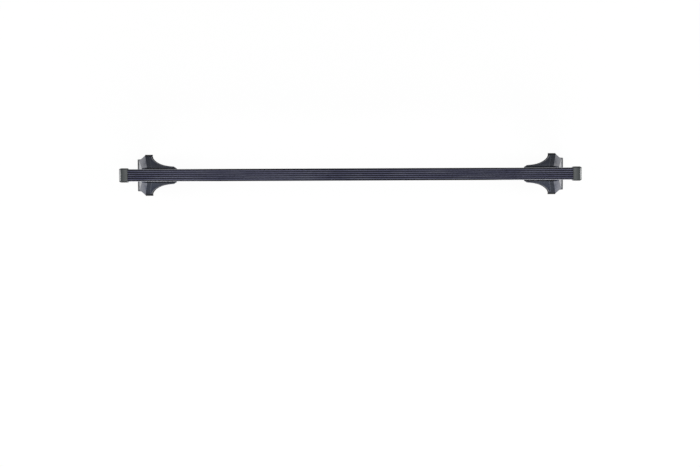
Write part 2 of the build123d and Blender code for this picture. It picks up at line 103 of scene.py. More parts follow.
class Finish:
    # the nodes of one material, or of the world when that is the holder
    def __init__(self, name, holder=None):
        self.material = holder or bpy.data.materials.new(name)
        self.material.use_nodes = True
        self.tree = self.material.node_tree
        self.tree.nodes.clear()

    def node(self, kind, settings=None, inputs=None, out=0):
        # any node: its settings first, then the values or links of its sockets; gives one of its outputs
        made = self.tree.nodes.new(kind)
        for key, value in (settings or {}).items():
            setattr(made, key, value)
        for key, value in (inputs or {}).items():
            if isinstance(value, Sock):
                self.tree.links.new(value.out, made.inputs[key])
            else:
                made.inputs[key].default_value = value
        return Sock(self, made.outputs[out]) if len(made.outputs) else None

    def maths(self, operation, first, second=0.0):
        # one Math node
        return self.node("ShaderNodeMath", {"operation": operation}, {0: first, 1: second})

    def coords(self, scale=(1, 1, 1)):
        # object coordinates times a scale
        place = self.node("ShaderNodeTexCoord", out=3)
        return self.node("ShaderNodeMapping", {}, {"Vector": place, "Scale": scale})

    def axes(self, origin):
        # x, y and z from an origin
        split = self.node("ShaderNodeSeparateXYZ", {}, {0: self.coords()})
        sockets = split.out.node.outputs
        return [Sock(self, sockets[k]) - origin[k] for k in range(3)]

    def noise(self, size, detail=3, stretch=(1, 1, 1)):
        # blotches of a size in metres, divided along each axis by its stretch, with finer detail in them
        place = self.coords(tuple(s / size for s in stretch))
        return self.node("ShaderNodeTexNoise", {}, {"Vector": place, "Scale": 1.0, "Detail": detail})

    def ramp(self, value, low, high):
        # smooth step of a value from low to high
        settings = {"interpolation_type": "SMOOTHSTEP"}
        return self.node("ShaderNodeMapRange", settings, {"Value": value, "From Min": low, "From Max": high})

    def height(self, low, high):
        # 0 below z = low, 1 above z = high
        z = self.node("ShaderNodeSeparateXYZ", {}, {0: self.coords()}, out=2)
        return self.ramp(z, low, high)

    def edges(self, low=0.52, high=0.6):
        # 1 on outer edges, whose pointiness is over that of a flat face, 0.5
        return self.ramp(self.node("ShaderNodeNewGeometry", out=7), low, high)

    def blend(self, factor, first, second):
        # first colour where the factor is 0, second where it is 1
        return self.node("ShaderNodeMix", {"data_type": "RGBA"}, {0: factor, 6: first, 7: second}, out=2)

    def tint(self, factor, colour, tone):
        # a tone laid over a colour
        return self.blend(factor, colour, shade(*tone))

    def mottle(self, value, limits, tones):
        # from the first tone to the second while the value passes between its limits
        return self.blend(self.ramp(value, *limits), shade(*tones[0]), shade(*tones[1]))

    def bump(self, value, depth):
        # normals of a relief, its depth in metres
        return self.node("ShaderNodeBump", {}, {"Strength": 1.0, "Distance": depth, "Height": value})

    def close(self, **inputs):
        # the shader and the output; an underscore in a name stands for a space in the socket's
        sockets = {key.replace("_", " "): value for key, value in inputs.items()}
        shader = self.node("ShaderNodeBsdfPrincipled", {}, sockets)
        self.node("ShaderNodeOutputMaterial", {}, {"Surface": shader})
        return self.material


def shade(r, g, b):
    # sRGB 0-255 to a linear colour
    c = np.array([r, g, b]) / 255
    c = np.where(c <= 0.04045, c / 12.92, ((c + 0.055) / 1.055) ** 2.4)
    return (*c.tolist(), 1.0)


# Sizes of a foot in millimetres: u runs outboard from its nose, w up from the bar's underside.
# The bevel and the crease are straight lines from a u at the top to a u at the sole.
foot = {"reach": 452.0, "underside": 121.0, "height": 79.0, "noseHeight": 15.0, "noseRadius": 9.0,
        "noseCore": 10.0, "nosePlan": 14.6, "noseStart": 3.5, "arcU": -0.4, "arcW": -92.0, "arcRadius": 78.0,
        "bevelTop": 79.0, "bevelSole": 98.0, "creaseTop": 69.5, "creaseSole": 87.5}

# Finishes, one for each slot of the record: sizes in metres, tones in sRGB 0-255.
# A noise is given as its blotch size, its detail and, where it is drawn out, its stretch along each axis.
# Limits are the values of a noise between which it goes from one tone to the other, and a share is how much
# of a tone is laid on.
# Levels of the bar in z: rib tops are painted lightest as painted light, grooves darkest as painted shade,
# and the rounded shoulder beside them carries a painted highlight, strongest over the feet.
barLook = {"ribTop": (0.1424, 0.1428), "groove": (0.1421, 0.1423), "shoulder": (0.1397, 0.1403),
           "feet": (0.34, 0.43), "line": (0.0011, 2, (0.01, 1, 1)), "cloud": (0.09, 3, (0.35, 1, 1)),
           "cloudLimits": (0.3, 0.7), "speck": (0.0007, 2), "rub": (0.012, 4, (0.15, 1, 1)),
           "rubLimits": (0.42, 0.75), "flankTones": [(22, 25, 37), (31, 34, 48)],
           "ribTopLitTones": [(62, 63, 82), (80, 81, 100)], "grooveShadeTone": (7, 7, 13),
           "rubbedTone": (104, 106, 118), "rubbedShare": 0.4, "shoulderHighlightTone": (150, 152, 160),
           "shoulderHighlightShare": 0.1, "highlightOverFeetShare": 0.7, "relief": 0.00006}


def barCoating():
    f, c = Finish("bar coating"), barLook
    drawn = f.noise(*c["line"])        # fine lines drawn along the bar
    cloud = f.noise(*c["cloud"])
    speck = f.noise(*c["speck"])
    ribTop = f.height(*c["ribTop"])
    over = f.height(*c["groove"])
    shoulder = f.height(*c["shoulder"]) - over
    feet = f.ramp(f.maths("ABSOLUTE", f.axes((0, 0, 0))[0]), *c["feet"])
    rubbed = ribTop * f.ramp(f.noise(*c["rub"]), *c["rubLimits"])
    flanks = f.mottle(cloud, c["cloudLimits"], c["flankTones"])
    # painted light: rib tops take lighter tones than the flanks
    colour = f.blend(ribTop, flanks, f.mottle(cloud, c["cloudLimits"], c["ribTopLitTones"]))
    # painted shade: the grooves between the ribs go near black
    colour = f.tint(over - ribTop, colour, c["grooveShadeTone"])
    colour = f.tint(rubbed * c["rubbedShare"], colour, c["rubbedTone"])
    # painted highlight on the rounded shoulder, strongest over the feet
    shoulderHighlight = shoulder * (c["shoulderHighlightShare"] + feet * c["highlightOverFeetShare"])
    colour = f.tint(shoulderHighlight, colour, c["shoulderHighlightTone"])
    return f.close(Base_Color=colour, Roughness=0.38 + drawn * 0.12 + cloud * 0.1, Specular_IOR_Level=0.12,
                   Normal=f.bump(drawn * 0.6 + speck * 0.6, c["relief"]))


# The caps' faces are grained and lighter towards the bar; the bevels along the bar carry a painted dark
# reflection, those at the ends are smooth and clear-coated. A bevel is where |y| and |z| from the middle add
# up to its limits.
capLook = {"middle": 0.132, "bevel": (0.0287, 0.029), "tip": (0.5953, 0.5957), "fade": (0.58, 0.5955),
           "grain": (0.0009, 3), "cloud": (0.02, 3), "cloudLimits": (0.3, 0.7), "relief": 0.00005,
           "tones": [(83, 85, 86), (52, 55, 57)], "cloudTone": (58, 61, 62), "cloudShare": 0.25,
           "bevelTone": (20, 21, 22), "bevelReflectionShare": 0.9, "edgeTone": (120, 126, 124), "edgeShare": 0.2}


def capPlastic():
    f, c = Finish("cap plastic"), capLook
    grain = f.noise(*c["grain"])
    cloud = f.noise(*c["cloud"])
    x, y, z = (f.maths("ABSOLUTE", v) for v in f.axes((0, 0, c["middle"])))
    bevel = f.ramp(y + z, *c["bevel"])
    tip = f.ramp(x, *c["tip"])
    colour = f.mottle(x, c["fade"], c["tones"])
    colour = f.tint(f.ramp(cloud, *c["cloudLimits"]) * c["cloudShare"], colour, c["cloudTone"])
    # painted dark reflection on the bevels along the bar, not at the ends
    colour = f.tint(bevel * (1 - tip) * c["bevelReflectionShare"], colour, c["bevelTone"])
    colour = f.tint(f.edges() * c["edgeShare"], colour, c["edgeTone"])
    return f.close(Base_Color=colour, Roughness=0.4 + cloud * 0.14 - tip * 0.1, Specular_IOR_Level=0.1,
                   Coat_Weight=tip * 0.7, Coat_Roughness=0.2,
                   Normal=f.bump(grain * (1 - tip * 0.8), c["relief"]))


# Cheeks are grained and dull, the bevelled outer end is smooth and clear-coated, the band along the rim is
# painted near black as shade in its rolled edge, and the bead beside it is smooth, with a painted highlight.
# The rim is the concave arc and, at the nose, a rounded corner; band and bead reach so far from it. The
# crease is a line of painted shade, with a painted highlight on a ridge inboard and painted shade on a strip
# outboard.
shellLook = {"band": 0.0035, "bead": 0.0054, "soft": 0.0002, "bevelSoft": 0.0004, "crease": (0.0003, 0.0007),
             "ridge": (0.0005, 0.0012), "ridgeAside": 0.0014, "strip": (0.0004, 0.001), "grains": 900,
             "fine": (0.0005, 2), "cloud": (0.03, 3), "cloudLimits": (0.3, 0.7), "relief": 0.00009,
             "tones": [(32, 35, 45), (43, 47, 58)], "bevelTone": (33, 39, 60), "stripShadeTone": (20, 22, 28),
             "stripShadeShare": 0.35, "ridgeHighlightTone": (84, 88, 97), "ridgeHighlightShare": 0.55, "creaseShadeTone": (12, 13, 17),
             "creaseShadeShare": 0.8, "bandShadeTone": (9, 9, 11), "beadHighlightTone": (70, 72, 80), "edgeTone": (78, 81, 88),
             "edgeShare": 0.45}


def shellPlastic():
    f, c = Finish("shell plastic"), shellLook
    s = {key: length * mm for key, length in foot.items()}
    place = f.coords((c["grains"],) * 3)
    grain = f.node("ShaderNodeTexVoronoi", {"feature": "SMOOTH_F1"}, {"Vector": place, "Scale": 1.0})
    fine = f.noise(*c["fine"])
    cloud = f.noise(*c["cloud"])
    x, _, w = f.axes((0, 0, s["underside"]))
    u = f.maths("ABSOLUTE", x) - s["reach"]
    pastBevel = u - s["bevelTop"] + w * ((s["bevelSole"] - s["bevelTop"]) / s["height"])
    bevel = f.ramp(pastBevel, -c["bevelSoft"], c["bevelSoft"])
    fromArc = ((u - s["arcU"]) ** 2 + (w - s["arcW"]) ** 2) ** 0.5 - s["arcRadius"]
    noseIn = f.maths("MAXIMUM", s["noseRadius"] - u, 0.0)
    noseUp = f.maths("MAXIMUM", s["noseRadius"] - s["noseHeight"] - w, 0.0) * f.ramp(noseIn, 0.0, c["soft"])
    fromRim = f.maths("MINIMUM", fromArc, s["noseRadius"] - (noseIn ** 2 + noseUp ** 2) ** 0.5)
    band = 1 - f.ramp(fromRim, c["band"] - c["soft"], c["band"] + c["soft"])
    bead = 1 - f.ramp(fromRim, c["bead"] - c["soft"], c["bead"] + c["soft"]) - band
    pastCrease = u - s["creaseTop"] + w * ((s["creaseSole"] - s["creaseTop"]) / s["height"])
    crease = 1 - f.ramp(f.maths("ABSOLUTE", pastCrease), *c["crease"])
    ridge = 1 - f.ramp(f.maths("ABSOLUTE", pastCrease + c["ridgeAside"]), *c["ridge"])
    strip = f.ramp(pastCrease, *c["strip"]) * (1 - bevel)
    colour = f.mottle(cloud, c["cloudLimits"], c["tones"])
    colour = f.tint(bevel, colour, c["bevelTone"])
    # painted shade on the strip outboard of the crease
    colour = f.tint(strip * c["stripShadeShare"], colour, c["stripShadeTone"])
    # painted highlight on the ridge inboard of the crease
    colour = f.tint(ridge * c["ridgeHighlightShare"], colour, c["ridgeHighlightTone"])
    # painted shade along the crease line
    colour = f.tint(crease * c["creaseShadeShare"], colour, c["creaseShadeTone"])
    # painted shade: the rolled band along the rim goes near black
    colour = f.tint(band, colour, c["bandShadeTone"])
    # painted highlight: the bead is laid lighter, besides its clear coat
    colour = f.tint(bead, colour, c["beadHighlightTone"])
    colour = f.tint(f.edges() * c["edgeShare"], colour, c["edgeTone"])
    return f.close(Base_Color=colour, Roughness=0.5 + cloud * 0.14 - bevel * 0.12, Specular_IOR_Level=0.05,
                   Coat_Weight=bevel * (0.6 + cloud * 0.3) + bead * 0.8, Coat_Roughness=0.22,
                   Normal=f.bump(grain * (0.7 - bevel * 0.5) + fine * 0.3, c["relief"]))


# Polished, with slow waves in the face, haze and fine scuffs across the foot
coverLook = {"wave": (0.012, 2), "haze": (0.025, 4), "hazeLimits": (0.35, 0.65),
             "scuff": (0.004, 5, (1, 0.12, 1)), "scuffLimits": (0.62, 0.74), "relief": 0.00012,
             "tones": [(36, 37, 41), (42, 43, 47)]}


def glossCover():
    f, c = Finish("gloss cover"), coverLook
    wave = f.noise(*c["wave"])
    haze = f.noise(*c["haze"])
    scuff = f.ramp(f.noise(*c["scuff"]), *c["scuffLimits"])
    return f.close(Base_Color=f.mottle(haze, c["hazeLimits"], c["tones"]),
                   Roughness=0.13 + haze * 0.08 + scuff * 0.12, Coat_Weight=0.25,
                   Normal=f.bump(wave, c["relief"]))


# Matt and dusty
padLook = {"grain": (0.0006, 3), "dust": (0.01, 4), "dustLimits": (0.4, 0.75), "relief": 0.00008,
           "tones": [(13, 13, 14), (24, 24, 26)]}


def padRubber():
    f, c = Finish("pad rubber"), padLook
    dust = f.noise(*c["dust"])
    return f.close(Base_Color=f.mottle(dust, c["dustLimits"], c["tones"]), Roughness=0.66 + dust * 0.2,
                   Specular_IOR_Level=0.2, Normal=f.bump(f.noise(*c["grain"]), c["relief"]))


# Matt black, finely grained
baseLook = {"grain": (0.0008, 3), "cloud": (0.015, 3), "relief": 0.00006,
            "tones": [(11, 11, 13), (20, 21, 23)]}


def basePlastic():
    f, c = Finish("base plastic"), baseLook
    cloud = f.noise(*c["cloud"])
    colour = f.blend(cloud, shade(*c["tones"][0]), shade(*c["tones"][1]))
    return f.close(Base_Color=colour, Roughness=0.46 + cloud * 0.16, Specular_IOR_Level=0.2,
                   Normal=f.bump(f.noise(*c["grain"]), c["relief"]))


# Grey and glossy, with a little dust
roofLook = {"grain": (0.0012, 3), "dust": (0.008, 4), "dustLimits": (0.35, 0.7), "relief": 0.00005,
            "tones": [(126, 128, 132), (150, 152, 156)]}


def roofRubber():
    f, c = Finish("roof rubber"), roofLook
    dust = f.noise(*c["dust"])
    return f.close(Base_Color=f.mottle(dust, c["dustLimits"], c["tones"]), Roughness=0.24 + dust * 0.2,
                   Normal=f.bump(f.noise(*c["grain"]), c["relief"]))


# Coated black, with the orange peel of a sprayed coat
bracketLook = {"peel": (0.0016, 2), "cloud": (0.018, 4), "cloudLimits": (0.3, 0.7), "relief": 0.00007,
               "tones": [(13, 16, 22), (21, 26, 34)]}


def bracketSteel():
    f, c = Finish("black coated steel"), bracketLook
    cloud = f.noise(*c["cloud"])
    return f.close(Base_Color=f.mottle(cloud, c["cloudLimits"], c["tones"]), Roughness=0.34 + cloud * 0.16,
                   Specular_IOR_Level=0.12, Normal=f.bump(f.noise(*c["peel"]), c["relief"]))


# Plated, from grey to a warmer tint
zincLook = {"tint": (0.006, 3), "brushed": (0.0008, 3), "relief": 0.00003,
            "tones": [(176, 178, 180), (206, 204, 192)]}


def zincSteel():
    f, c = Finish("zinc plated steel"), zincLook
    tint = f.noise(*c["tint"])
    colour = f.blend(tint, shade(*c["tones"][0]), shade(*c["tones"][1]))
    return f.close(Base_Color=colour, Metallic=1.0, Roughness=0.26 + tint * 0.16,
                   Normal=f.bump(f.noise(*c["brushed"]), c["relief"]))


# Spangles are longer along the tube; above the lowest level of the bore, inside the tube, it is painted dark
# as shade.
tubeLook = {"spangles": (160, 260, 260), "cloud": (0.03, 4), "cloudLimits": (0.55, 0.8),
            "bore": (0.1241, 0.1247), "relief": 0.00002, "tones": [(184, 190, 194), (222, 227, 230)],
            "cloudTone": (160, 164, 166), "cloudShare": 0.4, "boreShadeTone": (38, 40, 42), "boreShadeShare": 0.9}


def galvanisedSteel():
    f, c = Finish("galvanised steel"), tubeLook
    place = f.coords(c["spangles"])
    spangle = f.node("ShaderNodeTexVoronoi", {}, {"Vector": place, "Scale": 1.0}, out=1)
    flake = f.node("ShaderNodeSeparateColor", {}, {0: spangle})
    cloud = f.noise(*c["cloud"])
    colour = f.blend(flake, shade(*c["tones"][0]), shade(*c["tones"][1]))
    colour = f.tint(f.ramp(cloud, *c["cloudLimits"]) * c["cloudShare"], colour, c["cloudTone"])
    # painted shade inside the tube, above the lowest level of the bore
    colour = f.tint(f.height(*c["bore"]) * c["boreShadeShare"], colour, c["boreShadeTone"])
    return f.close(Base_Color=colour, Metallic=1.0, Roughness=0.3 + flake * 0.16,
                   Normal=f.bump(flake, c["relief"]))


finishes = {
    "bar_coating": barCoating(),
    "cap_plastic": capPlastic(),
    "shell_plastic": shellPlastic(),
    "gloss_cover": glossCover(),
    "pad_rubber": padRubber(),
    "base_plastic": basePlastic(),
    "roof_rubber": roofRubber(),
    "bracket_steel": bracketSteel(),
    "zinc_steel": zincSteel(),
    "galvanised_steel": galvanisedSteel(),
}
for name, node in frame["nodes"].items():
    node.data.materials.clear()
    node.data.materials.append(finishes[slotOf[name]])
print("finishes made:", len(finishes))


# Pieces
def enter(piece, body, slot):
    # the piece joins the scene, rides a body and wears a slot's finish
    bpy.context.scene.collection.objects.link(piece)
    piece.data.materials.clear()
    piece.data.materials.append(finishes[slot])
    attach(piece, body)


def dress(piece, node):
    # the piece takes a solid's place, body and finish
    enter(piece, bodyOf[node], slotOf[node])
    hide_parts(node)


def ringFaces(rows, columns):
    # quads between neighbouring closed rings, then the first and the last ring filled
    i, j = np.meshgrid(np.arange(rows - 1), np.arange(columns), indexing="ij")
    k = (j + 1) % columns
    quads = np.stack([i * columns + j, i * columns + k, (i + 1) * columns + k, (i + 1) * columns + j], -1)
    ends = [list(range(columns))[::-1], list(range((rows - 1) * columns, rows * columns))]
    return quads.reshape(-1, 4).tolist() + ends


def smoothTo(mesh, angle):
    # smooth faces, with crisp edges past an angle in degrees
    mesh.polygons.foreach_set("use_smooth", np.ones(len(mesh.polygons), bool))
    mesh.set_sharp_from_angle(angle=math.radians(angle))


def ringPiece(name, rings, crisp):
    # rings (n, k, 3): n closed rings of k points
    rows, columns = rings.shape[:2]
    mesh = bpy.data.meshes.new(name)
    mesh.from_pydata(rings.reshape(-1, 3).tolist(), [], ringFaces(rows, columns))
    bm = bmesh.new()
    bm.from_mesh(mesh)
    bmesh.ops.remove_doubles(bm, verts=bm.verts, dist=seam)
    bmesh.ops.recalc_face_normals(bm, faces=bm.faces)
    bm.to_mesh(mesh)
    bm.free()
    smoothTo(mesh, crisp)
    return bpy.data.objects.new(name, mesh)


def carried(section, stations, low, high, z):
    # rings of a section (y, z), raised by z, at even stations along x
    rings = np.empty((stations, len(section), 3))
    rings[:, :, 0] = np.linspace(low.x, high.x, stations)[:, None]
    rings[:, :, 1:] = section
    rings[:, :, 2] += z
    return rings


def arc(cy, cz, radius, start, end, count):
    # points on a circle about (cy, cz), from a start to an end angle in degrees
    angle = np.radians(np.linspace(start, end, count))
    return np.stack([cy + radius * np.cos(angle), cz + radius * np.sin(angle)], -1)


# Bar sheath: its section carried along the bar.
# Section: a rounded rectangle whose top is the lower of the rounded corners and of a level that drops by the
# groove depth with a smooth step at each groove's walls, then back along the inner wall from one side of the
# mouth to the other.
sheath = {"wall": 1.5, "corner": 3.5, "mouth": 9.5, "grooves": 6, "pitch": 5.3, "grooveWidth": 2.6,
          "grooveDepth": 0.7, "grooveEdge": 0.55, "mouthRound": 0.5, "edgeSteps": 6, "cornerSteps": 15,
          "lowerSteps": 9, "innerSteps": 6, "mouthSteps": 5, "stations": 61, "crisp": 40}


def sheathTop(hw, hh):
    # the top line from +y to -y, for half the width and half the height
    c, r = sheath, sheath["corner"]
    centres = (np.arange(c["grooves"]) - (c["grooves"] - 1) / 2) * c["pitch"]
    wall = np.linspace(-0.5, 0.5, c["edgeSteps"]) * c["grooveEdge"]
    offsets = np.concatenate([wall - c["grooveWidth"] / 2, wall + c["grooveWidth"] / 2])
    walls = (centres[:, None] + offsets[None, :]).ravel()
    corner = hw - r + r * np.cos(np.linspace(0, np.pi / 2, c["cornerSteps"]))
    y = np.sort(np.concatenate([walls, corner, -corner]))[::-1]
    reach = np.abs(y[:, None] - centres[None, :]).min(1)
    step = np.clip((c["grooveWidth"] / 2 + c["grooveEdge"] / 2 - reach) / c["grooveEdge"], 0, 1)
    level = hh - c["grooveDepth"] * step * step * (3 - 2 * step)
    over = np.clip(np.abs(y) - hw + r, 0, r)
    return np.stack([y, np.minimum(level, hh - r + np.sqrt(r * r - over * over))], -1)


def sheathSection(width, height):
    # closed loop in (y, z): the outside from one side of the mouth to the other, then back inside
    r, t, e = sheath["corner"], sheath["wall"], sheath["mouthRound"]
    hw, hh, m, ri = width / 2, height / 2, sheath["mouth"] / 2, r - t
    lower, inside, lip = sheath["lowerSteps"], sheath["innerSteps"], sheath["mouthSteps"]
    outer = [arc(m + e, -hh + e, e, 180, 270, lip), arc(hw - r, -hh + r, r, 270, 360, lower),
             sheathTop(hw, hh), arc(-hw + r, -hh + r, r, 180, 270, lower),
             arc(-m - e, -hh + e, e, 270, 360, lip)]
    inner = [np.array([[-m, -hh + t]]), arc(-hw + r, -hh + r, ri, 270, 180, inside),
             arc(-hw + r, hh - r, ri, 180, 90, inside), arc(hw - r, hh - r, ri, 90, 0, inside),
             arc(hw - r, -hh + r, ri, 0, -90, inside), np.array([[m, -hh + t]])]
    return np.concatenate(outer + inner) * mm


low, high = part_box("bar_sheath")
section = sheathSection((high.y - low.y) / mm, (high.z - low.z) / mm)
rings = carried(section, sheath["stations"], low, high, (low.z + high.z) / 2)
dress(ringPiece("bar_sheath_ribbed", rings, sheath["crisp"]), "bar_sheath")
print("bar sheath:", rings.shape)

# Saddle pads: a channel section with round lips, carried under the bar.
saddle = {"floor": 2.0, "lip": 2.4, "round": 0.7, "roundSteps": 5, "stations": 33, "crisp": 40}


def saddleSection(hw, h):
    # closed loop in (y, z): a floor between two lips, for half the width and the whole height
    t, b, r, n = saddle["lip"], saddle["floor"], saddle["round"], saddle["roundSteps"]
    return np.concatenate([
        arc(hw - r, r, r, -90, 0, n), arc(hw - r, h - r, r, 0, 90, n), arc(hw - t + r, h - r, r, 90, 180, n),
        np.array([[hw - t, b], [-hw + t, b]]), arc(-hw + t - r, h - r, r, 0, 90, n),
        arc(-hw + r, h - r, r, 90, 180, n), arc(-hw + r, r, r, 180, 270, n)]) * mm


for side in sides:
    node = side + "_saddle_pad"
    low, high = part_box(node)
    section = saddleSection((high.y - low.y) / 2 / mm, (high.z - low.z) / mm)
    rings = carried(section, saddle["stations"], low, high, low.z)
    dress(ringPiece(node + "_channel", rings, saddle["crisp"]), node)

# Clamp bolts: rings of radius r(s, angle) along the axis.
# The socket's rings are hexagons, apothem / cos(angle folded to 60 degrees); the knurl adds a cosine wave to
# the head; the thread's radius is a triangle wave of s / pitch - angle / turn.
# Rim, collar and tip are rounded by pairs: how far before the end, and how far in from the radius.
boltSizes = {"head": 5.0, "headLength": 6.0, "flats": 5.0, "socketDepth": 3.0, "socketFloor": 0.2,
             "socketEdge": 0.25, "rim": [(0, 0.5), (0.15, 0.25)], "rimLength": 0.5, "knurls": 36,
             "knurlDepth": 0.18, "knurlFrom": 0.7, "knurlTo": 0.8, "neck": 0.2,
             "collar": [(0.6, 0.15), (0.1, 0.15), (0, 0.3)], "shank": 3.0, "pitch": 1.0, "threadDepth": 0.5,
             "threadGap": 5.0, "threadFade": 1.5, "threadEnd": 0.8, "tip": [(0.7, 0.45), (0, 0.9)],
             "middle": 0.001, "around": 144, "perTurn": 8, "crisp": 30}


def hexagon(turn):
    # radius of a six-sided outline of apothem 1
    return 1 / np.cos((turn + np.pi / 6) % (np.pi / 3) - np.pi / 6)


def boltRings(length):
    # places along the axis and the radii of the rings there, from the socket's floor to the tip
    c = boltSizes
    turn = np.linspace(0, 2 * np.pi, c["around"], endpoint=False)
    plain = np.ones_like(turn)
    middle = c["middle"] * plain
    socket = hexagon(turn) * c["flats"] / 2
    knurl = c["head"] - c["knurlDepth"] * (0.5 + 0.5 * np.cos(turn * c["knurls"]))
    hl, sd, hr, sr = c["headLength"], c["socketDepth"], c["head"], c["shank"]
    # the head in order: socket, rim, knurl, collar and the slope down to the shank
    head = [(sd, middle), (sd - c["socketFloor"], socket), (c["socketEdge"], socket),
            (0, socket + c["socketEdge"])]
    head += [(p, (hr - inset) * plain) for p, inset in c["rim"]]
    head += [(c["rimLength"], (hr - c["knurlDepth"]) * plain), (c["knurlFrom"], knurl),
             (hl - c["knurlTo"], knurl)]
    head += [(hl - p, (hr - inset) * plain) for p, inset in c["collar"]]
    head += [(hl, (sr + c["neck"]) * plain), (hl + c["neck"], sr * plain)]
    start = hl + c["threadGap"]
    s = np.arange(start, length - c["threadEnd"], c["pitch"] / c["perTurn"])
    wave = np.abs(((s[:, None] / c["pitch"] - turn[None, :] / (2 * np.pi)) % 1) * 2 - 1)
    fade = np.clip((s - start) / c["threadFade"], 0, 1)[:, None]
    thread = sr - c["threadDepth"] * wave * fade
    tip = [(length - p, (sr - inset) * plain) for p, inset in c["tip"]] + [(length, middle)]
    along = np.concatenate([[p for p, _ in head], s, [p for p, _ in tip]])
    radius = np.concatenate([np.stack([r for _, r in head]), thread, np.stack([r for _, r in tip])])
    return along, radius, turn


for side, sign in sides.items():
    node = side + "_clamp_bolt"
    low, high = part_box(node)
    along, radius, turn = boltRings((high.x - low.x) / mm)
    inner = low.x if sign > 0 else high.x
    rings = np.stack([inner + sign * along[:, None] * mm + 0 * radius,
                      radius * np.cos(turn) * mm,
                      radius * np.sin(turn) * mm + (low.z + high.z) / 2], -1)
    dress(ringPiece(node + "_threaded", rings, boltSizes["crisp"]), node)

# Pad screws: a domed hex head with a cross recess, as heights z(r, angle) on rings that grow from round to
# six-sided, and a plain shank.
# Recess: depth falls with the distance from the two slot lines, and with the radius.
screwSizes = {"head": 2.4, "rise": 1.5, "domeDrop": 0.82, "shank": 1.5, "tip": 0.3, "tipLength": 2.0,
              "slot": 0.42, "slotWall": 0.15, "depth": 0.9, "slotReach": 1.5, "slotEnd": 0.3, "eye": 0.02,
              "hexPower": 4, "around": 96, "across": 22, "crisp": 40}


def screwRings(length):
    # radii and heights of the rings, from the middle of the dome down to the tip of the shank
    c = screwSizes
    turn = np.linspace(0, 2 * np.pi, c["around"], endpoint=False)
    r = (np.linspace(c["eye"], 1, c["across"]) * c["head"])[:, None]
    share = r / c["head"]
    dome = c["rise"] * np.sqrt(np.clip(1 - share ** 2 * c["domeDrop"], 0, 1))
    line = np.minimum(np.abs(r * np.cos(turn)), np.abs(r * np.sin(turn)))
    inSlot = np.clip((c["slot"] - line) / c["slotWall"], 0, 1)
    inSlot = inSlot * np.clip((c["slotReach"] - r) / c["slotEnd"], 0, 1)
    end = c["rise"] - length
    shank = np.array([[c["shank"], 0], [c["shank"], end + c["tipLength"]], [c["tip"], end]])
    radii = [r * (1 + (hexagon(turn) - 1) * share ** c["hexPower"]), c["head"] * hexagon(turn)[None, :],
             np.repeat(shank[:, :1], len(turn), 1)]
    heights = [dome - c["depth"] * inSlot, np.zeros((1, len(turn))), np.repeat(shank[:, 1:], len(turn), 1)]
    return np.concatenate(radii), np.concatenate(heights), turn


for side in sides:
    node = side + "_pad_screws"
    low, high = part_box(node)
    radii, heights, turn = screwRings((high.z - low.z) / mm)
    face = low.z + screwSizes["rise"] * mm
    corner = screwSizes["head"] / math.cos(math.pi / 6) * mm
    screws = []
    for across in (low.y + corner, high.y - corner):
        rings = np.stack([(low.x + high.x) / 2 + radii * np.cos(turn) * mm,
                          across + radii * np.sin(turn) * mm,
                          face - heights * mm], -1)
        screws.append(ringPiece(node + "_head", rings, screwSizes["crisp"]))
    both = bmesh.new()
    for screw in screws:
        both.from_mesh(screw.data)
    both.to_mesh(screws[0].data)
    both.free()
    bpy.data.objects.remove(screws[1])
    dress(screws[0], node)
print("numpy pieces made")

# Rim beads: a half-round section carried along the rim of each cheek, from the nose to the sole.
# Rim line in (u, w): a quarter circle at the nose, then the arc of the concave line. Its width out is the
# lesser of the flared flank, two tangent arcs in (y, w), and the round of the nose in plan.
flank = {"top": (20.0, 0.0), "waist": (31.5, -31.3), "sole": (53.0, -79.0), "flare": 14.0, "skin": 0.6}
bead = {"setback": 4.5, "width": 1.7, "rise": 0.4, "root": 0.25, "soleGap": 2.0, "browRun": 6.0,
        "noseStations": 30, "arcStations": 120, "stations": 140, "around": 12, "crisp": 60}


def tangentArc(start, tangent, end):
    # centre, radius and end tangent of the arc that leaves start along tangent
    chord = end - start
    normal = np.array([-tangent[1], tangent[0]])
    radius = chord @ chord / (2 * chord @ normal)
    along = chord / np.linalg.norm(chord)
    return start + normal * radius, abs(radius), 2 * (tangent @ along) * along - tangent


def flankHalf(w):
    # half width of the flared flank at level w
    flare = np.radians(flank["flare"])
    top, waist, sole = (np.array(flank[k]) for k in ("top", "waist", "sole"))
    c1, r1, t1 = tangentArc(top, np.array([np.sin(flare), -np.cos(flare)]), waist)
    c2, r2, _ = tangentArc(waist, t1, sole)
    upper = c1[0] + np.sign(top[0] - c1[0]) * np.sqrt(np.clip(r1**2 - (w - c1[1])**2, 0, None))
    lower = c2[0] + np.sign(sole[0] - c2[0]) * np.sqrt(np.clip(r2**2 - (w - c2[1])**2, 0, None))
    return np.where(w > waist[1], upper, lower)


def rimLine():
    # points (u, w) evenly spaced along the bead, from the nose down to the sole
    f, s = foot, bead["setback"]
    r, big = f["noseRadius"] - s, f["arcRadius"] + s
    turn = np.radians(np.linspace(180, 270, bead["noseStations"]))
    nose = np.stack([s + r + r * np.cos(turn), s - f["noseHeight"] + r + r * np.sin(turn)], -1)
    fromTop = np.arcsin((nose[-1, 0] + bead["browRun"] - f["arcU"]) / big)
    toSole = np.arccos((-f["height"] + bead["soleGap"] - f["arcW"]) / big)
    sweep = np.linspace(fromTop, toSole, bead["arcStations"])
    line = np.stack([f["arcU"] + big * np.sin(sweep), f["arcW"] + big * np.cos(sweep)], -1)
    path = np.concatenate([nose, line])
    length = np.concatenate([[0], np.cumsum(np.linalg.norm(np.diff(path, axis=0), axis=1))])
    even = np.linspace(0, length[-1], bead["stations"])
    return np.interp(even, length, path[:, 0]), np.interp(even, length, path[:, 1])


